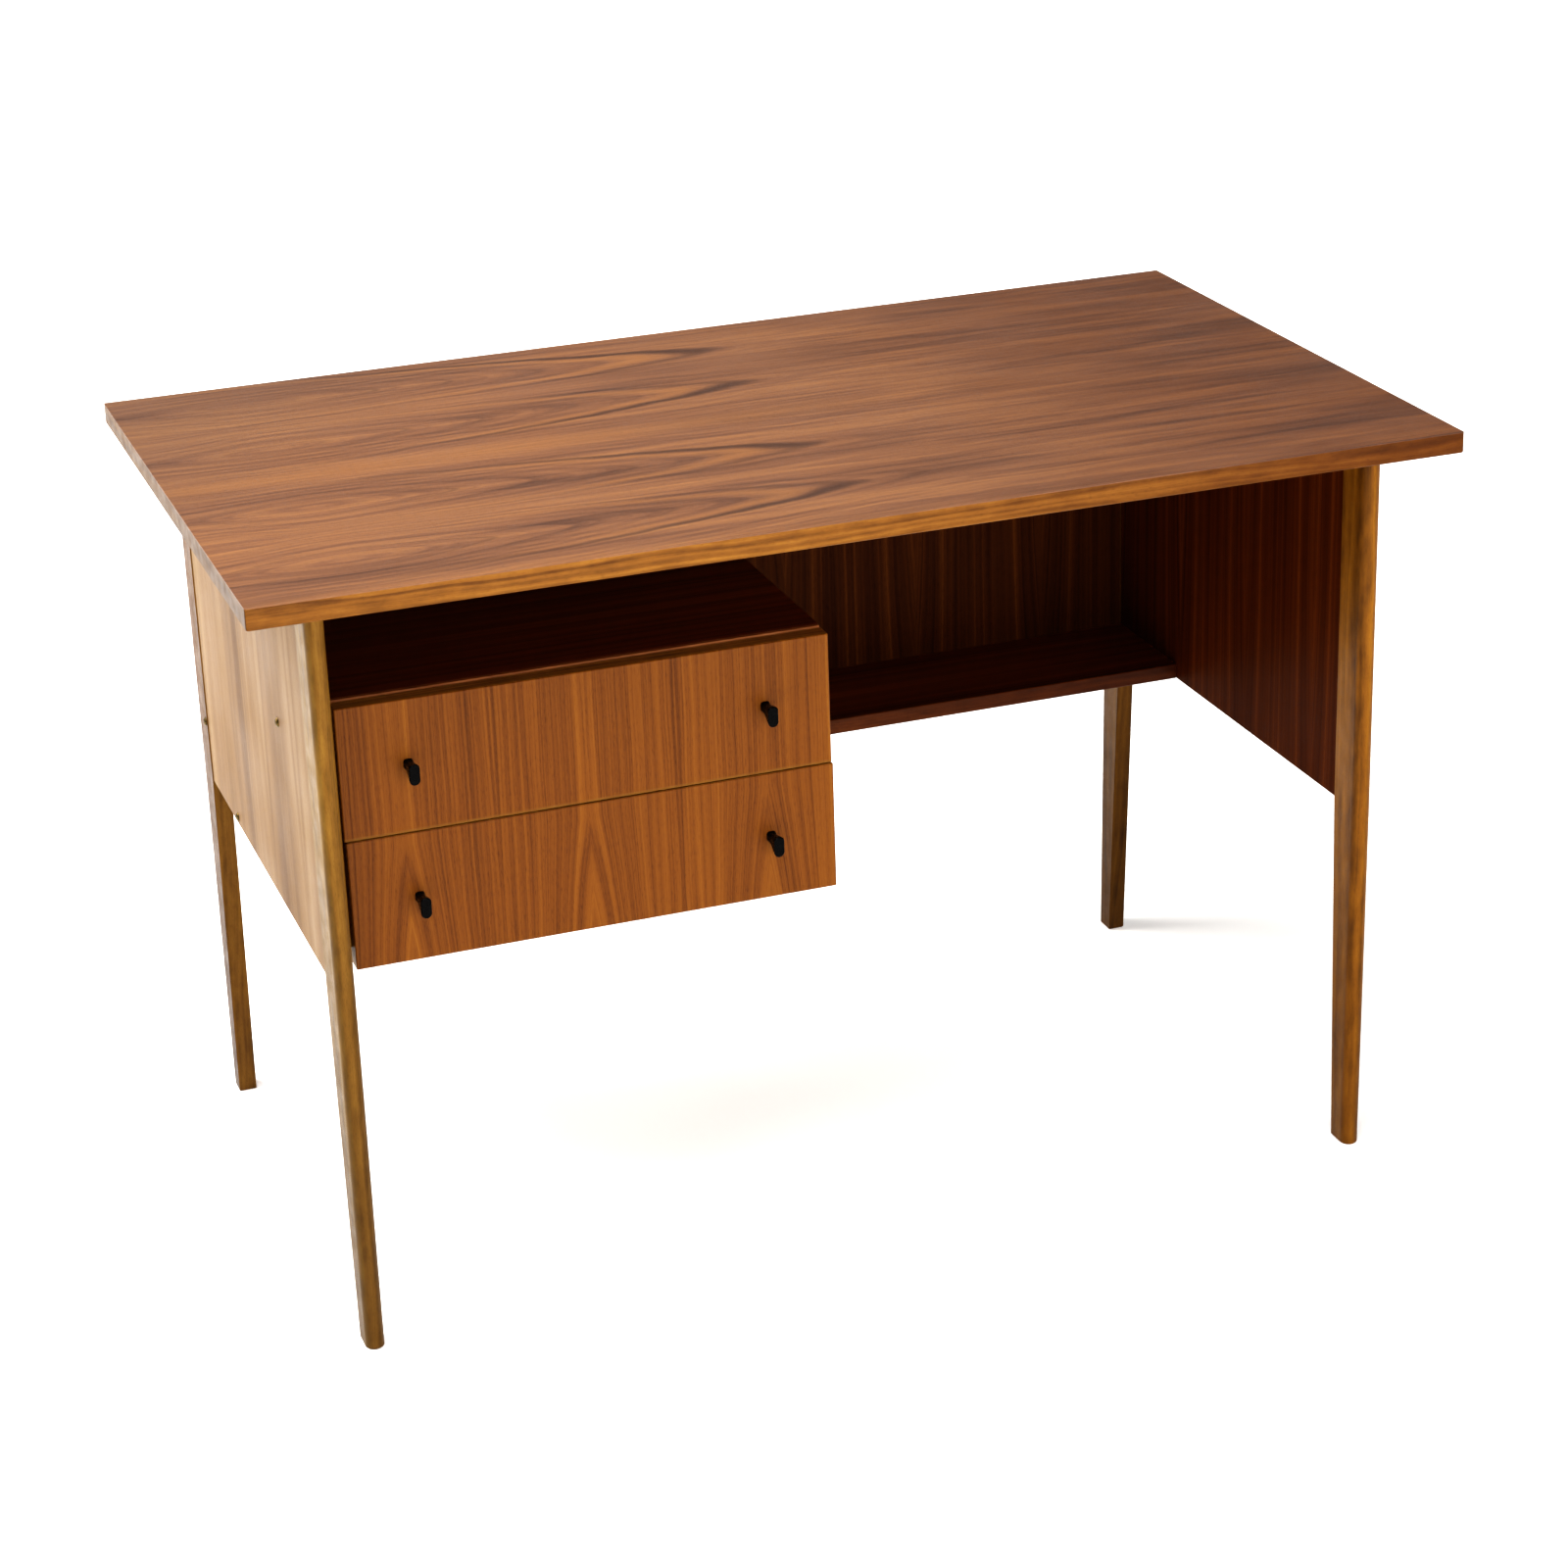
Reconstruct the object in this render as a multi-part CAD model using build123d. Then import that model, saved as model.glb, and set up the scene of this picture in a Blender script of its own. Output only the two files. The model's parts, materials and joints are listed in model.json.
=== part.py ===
from build123d import *
import os

# A writing desk: a veneered top on two side frames, joined by a back panel and a shelf,
# with a two-drawer unit hung against the left frame and a knee space to its right.
# Millimetres. +X is to the right, +Y to the back, +Z up. The origin is on the floor
# under the centre of the tabletop. Every (low, high) pair is a span along one axis.

# Tabletop
TOP_WIDTH = 1140
TOP_DEPTH = 660
DESK_HEIGHT = 750
TOP_THICK = 20
VENEER_THICK = 0.8
TOP_LIP = 6
TOP_CORNER = 2
TOP_EASE = 1

# Side frames: a panel between two legs, whose rounded edges face outwards
PANEL_OUT = 511
PANEL_THICK = 16
PANEL_FRONT = -241
PANEL_BACK = 257
PANEL_BOTTOM = 365
PANEL_EASE = 0.8
LEG_OUT = 512
LEG_THICK = 18
FRONT_LEG_NOSE = -285
FRONT_FOOT = (-254, -282)
REAR_LEG_NOSE = 303
REAR_FOOT = (283, 312)
FOOT_EASE = 1.5

# Back panel and shelf
BACK_FRONT = 255
BACK_THICK = 16
SHELF_FRONT = 116
SHELF_THICK = 16
SHELF_LIP = 5

# Drawer unit
UNIT_RIGHT = -28
UNIT_FRONT = -224.5
UNIT_TOP = 618
UNIT_TOP_THICK = 16
UNIT_LIP = 5
UNIT_EASE = 2
UNIT_SIDE_THICK = 12
UNIT_BOTTOM_THICK = 12
UNIT_BACK_THICK = 6

# Drawers
FACE_Y = -243
FACE_THICK = 18
FACE_SPAN = (-485, -27)
FACE_LIP = 3
FACE_CORNER = 1.2
FACE_EASE = 0.8
UPPER_FACE = (490.3, 616)
LOWER_FACE = (366, 489)
LOWER_FACE_SHIFT = 1.4
UPPER_BOX_BOTTOM = 500
LOWER_BOX_BOTTOM = 396
BOX_HEIGHT = 90
BOX_BACK = 215
BOX_GAP = 1
BOX_SIDE_THICK = 13
BOX_BACK_THICK = 12
BOX_BACK_DROP = 5
FLOOR_THICK = 4
FLOOR_RISE = 8
FLOOR_GROOVE = 5

# Runners, which slide in grooves in the drawer sides
RUNNER_PROUD = 8
RUNNER_HEIGHT = 16
RUNNER_SPAN = (-213, 235)
RUNNER_RISE = 45
RUNNER_CLEAR = 0.3
GROOVE_DEPTH = 7.5
GROOVE_FRONT = -215

# Knobs, each with a narrow neck and a tongue-shaped grip that hangs below it. An outline
# is (distance from the drawer front, width, height, drop of its middle, corner radius).
KNOB_INSET = 62.5
UPPER_KNOB_RISE = 1.5
LOWER_KNOB_RISE = -1
KNOB_OUTLINES = (
    (0, 9, 11, 0, 3),
    (7.7, 8, 11, 0.5, 3),
    (15.4, 9, 16, 1.5, 3.5),
    (22, 9.8, 19.8, 2.4, 3.8),
)
KNOB_RIM = 0.7
KNOB_SCREW_R = 2
KNOB_SCREW_DEPTH = 10
KNOB_SCREW_HEAD = (3.6, 2.2)
KNOB_SCREW_EASE = 0.5

# Battens that hold the top down
BATTEN = 20
SIDE_BATTEN_SPAN = (-210, 230)
BACK_BATTEN_HALF = 455

# Dowels as (radius, length), and where they are
DOWEL_EASE = 0.5
LEG_DOWEL = (4, 40)
LEG_DOWEL_Z = (400, 540, 680)
SHELF_DOWEL = (4, 30)
SHELF_DOWEL_X = (-400, -200, 0, 200, 400)
SHELF_DOWEL_IN_BACK = 10
UNIT_DOWEL = (3, 22)
UNIT_DOWEL_Y = (-170, 15, 200)
UNIT_DOWEL_IN_TOP = 10
UNIT_DOWEL_IN_BOTTOM = 8
BOX_DOWEL = (3, 24)
BOX_DOWEL_RISES = (24, 74)

# Wood screws as (shank radius, head radius), and where they are. A bite is how far the
# thread goes into the second piece.
WOOD_SCREW = (2, 4)
RUNNER_SCREW = (1.6, 3.4)
ROUND_SCREW = (2.2, 5)
ROUND_HEAD_RISE = 2.6
SLOT_WIDTH = 0.9
SLOT_DEPTH = 1.1
HOLE_CLEAR = 0.05
BATTEN_BITE = 12
SIDE_BATTEN_TOP_SCREW_Y = (-160, 10, 180)
SIDE_BATTEN_PANEL_SCREW_Y = (-75, 95)
BACK_BATTEN_TOP_SCREW_X = (-380, -127, 127, 380)
BACK_BATTEN_PANEL_SCREW_X = (-250, 0, 250)
RUNNER_BITE = 10
RUNNER_SCREW_Y = (-180, 10, 200)
FRAME_SCREW_LENGTH = 42
SHELF_SCREW_SETBACK = 19
BACK_SCREW_Z = 428
UNIT_SCREW_LENGTH = 26
UNIT_SCREW_Y = -118
UNIT_SCREW_Z = 564

# Heights and depths that follow from the dimensions above
TOP_UNDER = DESK_HEIGHT - TOP_THICK
PANEL_IN = PANEL_OUT - PANEL_THICK
LEG_IN = LEG_OUT - LEG_THICK
FRAME_MIDDLE = PANEL_OUT - PANEL_THICK / 2
SHELF_TOP = PANEL_BOTTOM + SHELF_THICK
SHELF_MIDDLE_Z = PANEL_BOTTOM + SHELF_THICK / 2
UNIT_LEFT = -PANEL_IN
UNIT_INSIDE_X = (UNIT_LEFT + UNIT_SIDE_THICK, UNIT_RIGHT - UNIT_SIDE_THICK)
UNIT_INSIDE_Z = (SHELF_TOP + UNIT_BOTTOM_THICK, UNIT_TOP - UNIT_TOP_THICK)
FACE_BACK = FACE_Y + FACE_THICK
BOX_X = (UNIT_INSIDE_X[0] + BOX_GAP, UNIT_INSIDE_X[1] - BOX_GAP)
BOX_INSIDE_X = (BOX_X[0] + BOX_SIDE_THICK, BOX_X[1] - BOX_SIDE_THICK)

parts = {}


# Shapes


def block(x, y, z):
    """A box from its three (low, high) spans."""
    centre = Pos((x[0] + x[1]) / 2, (y[0] + y[1]) / 2, (z[0] + z[1]) / 2)
    return centre * Box(x[1] - x[0], y[1] - y[0], z[1] - z[0])


def eased_board(x, y, z, ease):
    """A board with all of its edges lightly chamfered."""
    board = block(x, y, z)
    return chamfer(board.edges(), ease)


def lipped_board(width, height, thick, lip, corner, ease, eased_side):
    """A core and its four mitred lippings, centred on the Z axis and standing on z = 0.

    eased_side is 0 to ease the edges around the lower face and -1 around the upper one.
    """
    middle = Pos(0, 0, thick / 2)
    blank = middle * Box(width, height, thick)
    blank = fillet(blank.edges().filter_by(Axis.Z), corner)
    blank = chamfer(blank.faces().sort_by(Axis.Z)[eased_side].edges(), ease)
    core = middle * Box(width - 2 * lip, height - 2 * lip, thick)
    ring = blank - core
    x = width / 2
    y = height / 2
    outlines = [
        [(-x, -y), (x, -y), (x - lip, lip - y), (lip - x, lip - y)],
        [(x, y), (-x, y), (lip - x, y - lip), (x - lip, y - lip)],
        [(-x, y), (-x, -y), (lip - x, lip - y), (lip - x, y - lip)],
        [(x, -y), (x, y), (x - lip, y - lip), (x - lip, lip - y)],
    ]
    strips = []
    for outline in outlines:
        wedge = extrude(make_face(Polyline(*outline, close=True)), thick)
        strips.append((ring & wedge).solids()[0])
    return core, strips


def rod(start, direction, radius, length):
    """A cylinder from a start point along a direction."""
    return Plane(start, z_dir=direction) * Cylinder(
        radius, length, align=(Align.CENTER, Align.CENTER, Align.MIN)
    )


def flat_screw(start, direction, size, length, grow=0):
    """A countersunk wood screw, or its hole if grow is above zero.

    start is the middle of the head's flat face, and the shank runs along direction.
    """
    shank = size[0] + grow
    head = size[1] + grow
    end = length + grow
    tip = 2 * size[0]
    profile = [(0, 0), (head, 0), (shank, size[1] - size[0]), (shank, end - tip), (0, end)]
    screw = revolve(Plane.XZ * make_face(Polyline(*profile, close=True)), Axis.Z)
    if grow == 0:
        screw -= Pos(0, 0, SLOT_DEPTH / 2) * Box(2 * head, SLOT_WIDTH, SLOT_DEPTH)
    return Plane(start, z_dir=direction) * screw


def round_screw(start, direction, size, length, grow=0):
    """A round-head wood screw, or its hole if grow is above zero.

    start is where the head meets the wood, and the shank runs along direction.
    """
    shank, head = size
    if grow > 0:
        return rod(start, direction, shank + grow, length + grow)
    top = -ROUND_HEAD_RISE
    tip = 2 * shank
    outline = Polyline((head, 0), (shank, 0), (shank, length - tip), (0, length), (0, top))
    dome = TangentArc((0, top), (head, 0), tangent=(1, 0))
    screw = revolve(Plane.XZ * make_face([*outline.edges(), dome]), Axis.Z)
    screw -= Pos(0, 0, SLOT_DEPTH / 2 + top) * Box(2 * head, SLOT_WIDTH, SLOT_DEPTH)
    return Plane(start, z_dir=direction) * screw


# Fasteners: each adds a solid to a shared node and drills the pieces that it joins


def add_to(node, solid):
    """Keeps one more separate solid in a node that holds several."""
    parts.setdefault(node, []).append(solid)


def dowel(node, middle, direction, size, pieces):
    """A dowel centred on a point, with a hole in each of the pieces."""
    radius, length = size
    axis = Vector(*direction)
    start = Vector(*middle) - axis * (length / 2)
    pin = rod(start, direction, radius, length)
    add_to(node, chamfer(pin.edges().filter_by(GeomType.CIRCLE), DOWEL_EASE))
    hole_start = start - axis * HOLE_CLEAR
    hole = rod(hole_start, direction, radius + HOLE_CLEAR, length + 2 * HOLE_CLEAR)
    for piece in pieces:
        parts[piece] -= hole


def screw(node, shape, start, direction, size, length, pieces):
    """A screw of the given shape, with a hole in each of the pieces."""
    add_to(node, shape(start, direction, size, length))
    hole = shape(start, direction, size, length, HOLE_CLEAR)
    for piece in pieces:
        parts[piece] -= hole


# Tabletop


def make_tabletop():
    """The core, its lippings and the veneer that covers them all."""
    core_thick = TOP_THICK - VENEER_THICK
    core, strips = lipped_board(
        TOP_WIDTH, TOP_DEPTH, core_thick, TOP_LIP, TOP_CORNER, TOP_EASE, 0
    )
    lift = Pos(0, 0, TOP_UNDER)
    parts["tabletop_core"] = lift * core
    for side, strip in zip(("front", "back", "left", "right"), strips):
        parts[f"tabletop_{side}_lipping"] = lift * strip
    sheet = RectangleRounded(TOP_WIDTH, TOP_DEPTH, TOP_CORNER)
    veneer_under = DESK_HEIGHT - VENEER_THICK
    parts["tabletop_veneer"] = Pos(0, 0, veneer_under) * extrude(sheet, VENEER_THICK)


# Side frames


def leg_section(z, flat_y, nose_y):
    """A leg's outline at one height: flat towards the panel, half round on the nose."""
    half = LEG_THICK / 2
    outwards = 1 if nose_y > flat_y else -1
    shoulder = nose_y - outwards * half
    sides = Polyline((-half, shoulder), (-half, flat_y), (half, flat_y), (half, shoulder))
    nose = ThreePointArc((half, shoulder), (0, nose_y), (-half, shoulder))
    return Pos(0, 0, z) * make_face([*sides.edges(), nose])


def leg(flat_y, nose_y, foot):
    """A leg that is straight beside the panel and tapers below it, in the x = 0 plane."""
    sections = [
        leg_section(0, *foot),
        leg_section(PANEL_BOTTOM, flat_y, nose_y),
        leg_section(TOP_UNDER, flat_y, nose_y),
    ]
    blank = loft(sections, ruled=True)
    return chamfer(blank.faces().sort_by(Axis.Z)[0].edges(), FOOT_EASE)


def make_side_frame(name, side):
    """A side panel, its two legs and the dowels between them."""
    panel = f"{name}_side_panel"
    panel_x = sorted((side * PANEL_IN, side * PANEL_OUT))
    parts[panel] = eased_board(
        panel_x, (PANEL_FRONT, PANEL_BACK), (PANEL_BOTTOM, TOP_UNDER), PANEL_EASE
    )
    move = Pos(side * FRAME_MIDDLE, 0, 0)
    front = f"{name}_front_leg"
    rear = f"{name}_rear_leg"
    parts[front] = move * leg(PANEL_FRONT, FRONT_LEG_NOSE, FRONT_FOOT)
    parts[rear] = move * leg(PANEL_BACK, REAR_LEG_NOSE, REAR_FOOT)
    for z in LEG_DOWEL_Z:
        for joint_y, leg_name in ((PANEL_FRONT, front), (PANEL_BACK, rear)):
            middle = (side * FRAME_MIDDLE, joint_y, z)
            dowel("leg_dowels", middle, (0, 1, 0), LEG_DOWEL, (panel, leg_name))


# Back panel and shelf


def make_back_and_shelf():
    """The back panel between the rear legs and the shelf in front of its lower edge."""
    back_y = (BACK_FRONT, BACK_FRONT + BACK_THICK)
    parts["back_panel"] = eased_board(
        (-LEG_IN, LEG_IN), back_y, (PANEL_BOTTOM, TOP_UNDER), PANEL_EASE
    )
    shelf_x = (-PANEL_IN, PANEL_IN)
    shelf_z = (PANEL_BOTTOM, SHELF_TOP)
    lip_back = SHELF_FRONT + SHELF_LIP
    parts["shelf"] = block(shelf_x, (lip_back, BACK_FRONT), shelf_z)
    strip = block(shelf_x, (SHELF_FRONT, lip_back), shelf_z)
    front_edges = strip.faces().sort_by(Axis.Y)[0].edges()
    parts["shelf_lipping"] = chamfer(front_edges, PANEL_EASE)
    middle_y = BACK_FRONT + SHELF_DOWEL_IN_BACK - SHELF_DOWEL[1] / 2
    for x in SHELF_DOWEL_X:
        middle = (x, middle_y, SHELF_MIDDLE_Z)
        dowel("shelf_dowels", middle, (0, 1, 0), SHELF_DOWEL, ("shelf", "back_panel"))


# Battens


def make_battens():
    """Three strips under the top, screwed upwards into it and sideways into the panels."""
    z = (TOP_UNDER - BATTEN, TOP_UNDER)
    screw_length = BATTEN + BATTEN_BITE
    middle_z = TOP_UNDER - BATTEN / 2
    for name, side in (("left", -1), ("right", 1)):
        batten = f"{name}_batten"
        inner = side * (PANEL_IN - BATTEN)
        parts[batten] = block(sorted((inner, side * PANEL_IN)), SIDE_BATTEN_SPAN, z)
        upward_x = side * (PANEL_IN - BATTEN / 2)
        for y in SIDE_BATTEN_TOP_SCREW_Y:
            start = (upward_x, y, z[0])
            pieces = (batten, "tabletop_core")
            screw("batten_screws", flat_screw, start, (0, 0, 1), WOOD_SCREW, screw_length, pieces)
        for y in SIDE_BATTEN_PANEL_SCREW_Y:
            start = (inner, y, middle_z)
            pieces = (batten, f"{name}_side_panel")
            outwards = (side, 0, 0)
            screw("batten_screws", flat_screw, start, outwards, WOOD_SCREW, screw_length, pieces)
    batten_front = BACK_FRONT - BATTEN
    x_span = (-BACK_BATTEN_HALF, BACK_BATTEN_HALF)
    parts["back_batten"] = block(x_span, (batten_front, BACK_FRONT), z)
    for x in BACK_BATTEN_TOP_SCREW_X:
        start = (x, BACK_FRONT - BATTEN / 2, z[0])
        pieces = ("back_batten", "tabletop_core")
        screw("batten_screws", flat_screw, start, (0, 0, 1), WOOD_SCREW, screw_length, pieces)
    for x in BACK_BATTEN_PANEL_SCREW_X:
        start = (x, batten_front, middle_z)
        pieces = ("back_batten", "back_panel")
        screw("batten_screws", flat_screw, start, (0, 1, 0), WOOD_SCREW, screw_length, pieces)


# Drawer unit


def make_unit():
    """The open-fronted box that holds the drawers, standing on the shelf at the back."""
    x = (UNIT_LEFT, UNIT_RIGHT)
    y = (UNIT_FRONT, BACK_FRONT)
    top_z = (UNIT_INSIDE_Z[1], UNIT_TOP)
    lip_back = UNIT_FRONT + UNIT_LIP
    parts["unit_top"] = block(x, (lip_back, BACK_FRONT), top_z)
    strip = block(x, (UNIT_FRONT, lip_back), top_z)
    strip = fillet(strip.edges().filter_by(Axis.Z).group_by(Axis.Y)[0][-1:], UNIT_EASE)
    upper_front = strip.faces().sort_by(Axis.Z)[-1].edges().filter_by(Axis.X).sort_by(Axis.Y)[:1]
    parts["unit_top_lipping"] = fillet(upper_front, UNIT_EASE / 2)
    parts["unit_bottom"] = block(x, y, (SHELF_TOP, UNIT_INSIDE_Z[0]))
    left_x = (UNIT_LEFT, UNIT_INSIDE_X[0])
    right_x = (UNIT_INSIDE_X[1], UNIT_RIGHT)
    parts["unit_left_side"] = block(left_x, y, UNIT_INSIDE_Z)
    parts["unit_right_side"] = block(right_x, y, UNIT_INSIDE_Z)
    back_y = (BACK_FRONT - UNIT_BACK_THICK, BACK_FRONT)
    parts["unit_back"] = block(UNIT_INSIDE_X, back_y, UNIT_INSIDE_Z)
    upper_z = UNIT_INSIDE_Z[1] + UNIT_DOWEL_IN_TOP - UNIT_DOWEL[1] / 2
    lower_z = UNIT_INSIDE_Z[0] - UNIT_DOWEL_IN_BOTTOM + UNIT_DOWEL[1] / 2
    for name, side_x in (("unit_left_side", left_x), ("unit_right_side", right_x)):
        middle_x = sum(side_x) / 2
        for dowel_y in UNIT_DOWEL_Y:
            upper = (middle_x, dowel_y, upper_z)
            lower = (middle_x, dowel_y, lower_z)
            dowel("unit_dowels", upper, (0, 0, 1), UNIT_DOWEL, (name, "unit_top"))
            dowel("unit_dowels", lower, (0, 0, 1), UNIT_DOWEL, (name, "unit_bottom"))


def make_runners(name, box_bottom):
    """The pair of strips that one drawer slides on, screwed to the unit's sides."""
    middle_z = box_bottom + RUNNER_RISE
    z = (middle_z - RUNNER_HEIGHT / 2, middle_z + RUNNER_HEIGHT / 2)
    for side_name, wall, inwards in (
        ("left", UNIT_INSIDE_X[0], 1),
        ("right", UNIT_INSIDE_X[1], -1),
    ):
        runner = f"{name}_{side_name}_runner"
        inner = wall + inwards * RUNNER_PROUD
        parts[runner] = eased_board(sorted((wall, inner)), RUNNER_SPAN, z, RUNNER_CLEAR)
        pieces = (runner, f"unit_{side_name}_side")
        length = RUNNER_PROUD + RUNNER_BITE
        for y in RUNNER_SCREW_Y:
            start = (inner, y, middle_z)
            outwards = (-inwards, 0, 0)
            screw("runner_screws", flat_screw, start, outwards, RUNNER_SCREW, length, pieces)


# Round-head screws through the side frames


def make_side_screws():
    """Screws into the shelf's ends, the back panel's ends and the unit's left side."""
    back_y = BACK_FRONT + BACK_THICK / 2
    for name, side in (("left", -1), ("right", 1)):
        into_shelf = (side * PANEL_OUT, SHELF_FRONT + SHELF_SCREW_SETBACK, SHELF_MIDDLE_Z)
        into_back = (side * LEG_OUT, back_y, BACK_SCREW_Z)
        for start, pieces in (
            (into_shelf, (f"{name}_side_panel", "shelf")),
            (into_back, (f"{name}_rear_leg", "back_panel")),
        ):
            inwards = (-side, 0, 0)
            length = FRAME_SCREW_LENGTH
            screw("side_screws", round_screw, start, inwards, ROUND_SCREW, length, pieces)
    start = (-PANEL_OUT, UNIT_SCREW_Y, UNIT_SCREW_Z)
    pieces = ("left_side_panel", "unit_left_side")
    screw("side_screws", round_screw, start, (1, 0, 0), ROUND_SCREW, UNIT_SCREW_LENGTH, pieces)


# Drawers


def tongue(width, height, drop, corner):
    """A flat-topped outline with a round bottom, its middle at -drop."""
    half = width / 2
    top = height / 2 - drop
    bottom = -height / 2 - drop
    sides = Polyline((-half, bottom + half), (-half, top - corner))
    left = TangentArc((-half, top - corner), (corner - half, top), tangent=(0, 1))
    lid = Line((corner - half, top), (half - corner, top))
    right = TangentArc((half - corner, top), (half, top - corner), tangent=(1, 0))
    other = Line((half, top - corner), (half, bottom + half))
    base = ThreePointArc((half, bottom + half), (0, bottom), (-half, bottom + half))
    return make_face([*sides.edges(), left, lid, right, other, base])


def knob(x, z):
    """A knob that stands out of a drawer front along -Y."""
    faces = [Pos(0, 0, out) * tongue(*shape) for out, *shape in KNOB_OUTLINES]
    grip = loft(faces)
    grip = chamfer(grip.faces().sort_by(Axis.Z)[-1].edges(), KNOB_RIM)
    return Pos(x, FACE_Y, z) * Rot(90, 0, 0) * grip


def knob_screw(x, z):
    """A machine screw from inside the drawer front into the knob, and its hole."""
    head_radius, head_height = KNOB_SCREW_HEAD
    start = (x, FACE_BACK + head_height, z)
    head = rod(start, (0, -1, 0), head_radius, head_height)
    rim = head.edges().filter_by(GeomType.CIRCLE).sort_by(Axis.Y)[-1:]
    head = chamfer(rim, KNOB_SCREW_EASE)
    length = FACE_THICK + KNOB_SCREW_DEPTH
    shank_start = (x, FACE_BACK, z)
    shank = rod(shank_start, (0, -1, 0), KNOB_SCREW_R, length)
    hole = rod(shank_start, (0, -1, 0), KNOB_SCREW_R + HOLE_CLEAR, length + HOLE_CLEAR)
    slot = Pos(x, FACE_BACK + head_height, z) * Box(2 * head_radius, 2 * SLOT_DEPTH, SLOT_WIDTH)
    return head + shank - slot, hole


def make_face_board(name, z, shift):
    """A drawer's overlay front: a core with a thin lipping on its four edges."""
    width = FACE_SPAN[1] - FACE_SPAN[0]
    height = z[1] - z[0]
    core, strips = lipped_board(
        width, height, FACE_THICK, FACE_LIP, FACE_CORNER, FACE_EASE, -1
    )
    stand = Pos(sum(FACE_SPAN) / 2 + shift, FACE_BACK, sum(z) / 2) * Rot(90, 0, 0)
    parts[f"{name}_front"] = stand * core
    for strip in strips:
        add_to(f"{name}_front_lippings", stand * strip)


def make_box(name, bottom):
    """The drawer's sides, back and floor, with their grooves."""
    front = f"{name}_front"
    floor_z = (bottom + FLOOR_RISE, bottom + FLOOR_RISE + FLOOR_THICK)
    floor_x = (BOX_INSIDE_X[0] - FLOOR_GROOVE, BOX_INSIDE_X[1] + FLOOR_GROOVE)
    floor = block(floor_x, (FACE_BACK - FLOOR_GROOVE, BOX_BACK), floor_z)
    parts[f"{name}_floor"] = floor
    parts[front] -= floor
    z = (bottom, bottom + BOX_HEIGHT)
    groove_middle = bottom + RUNNER_RISE
    groove_half = RUNNER_HEIGHT / 2 + RUNNER_CLEAR
    groove_z = (groove_middle - groove_half, groove_middle + groove_half)
    for side_name, outer, inner, inwards in (
        ("left", BOX_X[0], BOX_INSIDE_X[0], 1),
        ("right", BOX_X[1], BOX_INSIDE_X[1], -1),
    ):
        groove_x = sorted((outer, outer + inwards * GROOVE_DEPTH))
        board = block(sorted((outer, inner)), (FACE_BACK, BOX_BACK), z)
        board -= block(groove_x, (GROOVE_FRONT, BOX_BACK), groove_z)
        board -= floor
        side = f"{name}_{side_name}_side"
        parts[side] = board
        for rise in BOX_DOWEL_RISES:
            middle = ((outer + inner) / 2, FACE_BACK, bottom + rise)
            dowel(f"{name}_dowels", middle, (0, 1, 0), BOX_DOWEL, (front, side))
    back_y = (BOX_BACK - BOX_BACK_THICK, BOX_BACK)
    parts[f"{name}_back"] = block(BOX_INSIDE_X, back_y, (floor_z[1], z[1] - BOX_BACK_DROP))


def make_knobs(name, z, shift):
    """Two knobs with their screws, each near one end of the drawer front."""
    for side_name, x in (
        ("left", FACE_SPAN[0] + KNOB_INSET + shift),
        ("right", FACE_SPAN[1] - KNOB_INSET + shift),
    ):
        fixing, hole = knob_screw(x, z)
        parts[f"{name}_{side_name}_knob"] = knob(x, z) - hole
        parts[f"{name}_front"] -= hole
        add_to(f"{name}_knob_screws", fixing)


def make_drawer(name, face_z, shift, box_bottom, knob_rise):
    """One whole drawer and the runners that it slides on."""
    make_face_board(name, face_z, shift)
    make_box(name, box_bottom)
    make_knobs(name, sum(face_z) / 2 + knob_rise, shift)
    make_runners(name.removesuffix("_drawer"), box_bottom)


# Build and export


def save(name, shape):
    """Writes one node, as separate solids where it holds several."""
    solids = []
    for piece in shape if isinstance(shape, list) else [shape]:
        solids.extend(piece.solids())
    node = solids[0] if len(solids) == 1 else Compound(children=solids)
    export_step(node, f"parts/{name}.step")


make_tabletop()
make_side_frame("left", -1)
make_side_frame("right", 1)
make_back_and_shelf()
make_battens()
make_unit()
make_drawer("upper_drawer", UPPER_FACE, 0, UPPER_BOX_BOTTOM, UPPER_KNOB_RISE)
make_drawer("lower_drawer", LOWER_FACE, LOWER_FACE_SHIFT, LOWER_BOX_BOTTOM, LOWER_KNOB_RISE)
make_side_screws()

os.makedirs("parts", exist_ok=True)
for node_name, node_shape in parts.items():
    save(node_name, node_shape)
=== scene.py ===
import json
import math

import bpy
from mathutils import Matrix, Vector


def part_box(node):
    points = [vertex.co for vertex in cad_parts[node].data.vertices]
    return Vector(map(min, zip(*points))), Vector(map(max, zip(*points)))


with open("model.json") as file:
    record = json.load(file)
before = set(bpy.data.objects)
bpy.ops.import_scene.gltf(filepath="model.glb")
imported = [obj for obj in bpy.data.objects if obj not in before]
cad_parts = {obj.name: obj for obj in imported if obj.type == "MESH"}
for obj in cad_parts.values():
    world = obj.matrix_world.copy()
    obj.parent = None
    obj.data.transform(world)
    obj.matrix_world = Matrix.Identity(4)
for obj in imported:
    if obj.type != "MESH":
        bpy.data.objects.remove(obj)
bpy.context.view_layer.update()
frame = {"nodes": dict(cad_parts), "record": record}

# The looks of a writing desk: veneered boards, solid legs and edge lippings, drawers with
# black knobs, and brass screws, on a pale studio floor. Metres, in the desk's own frame:
# +X to the right, +Y to the back, +Z up.

# Camera: turned about Z, tilted down and rolled by these angles in degrees
CAMERA_PLACE = (-1.0758, -3.1345, 1.7425)
CAMERA_YAW = 19.07
CAMERA_PITCH = 22.48
CAMERA_ROLL = -2.0
CAMERA_LENS = 83.0
CAMERA_SENSOR = 36.0
CAMERA_SHIFT = (0.0014, 0.0002)

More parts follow.
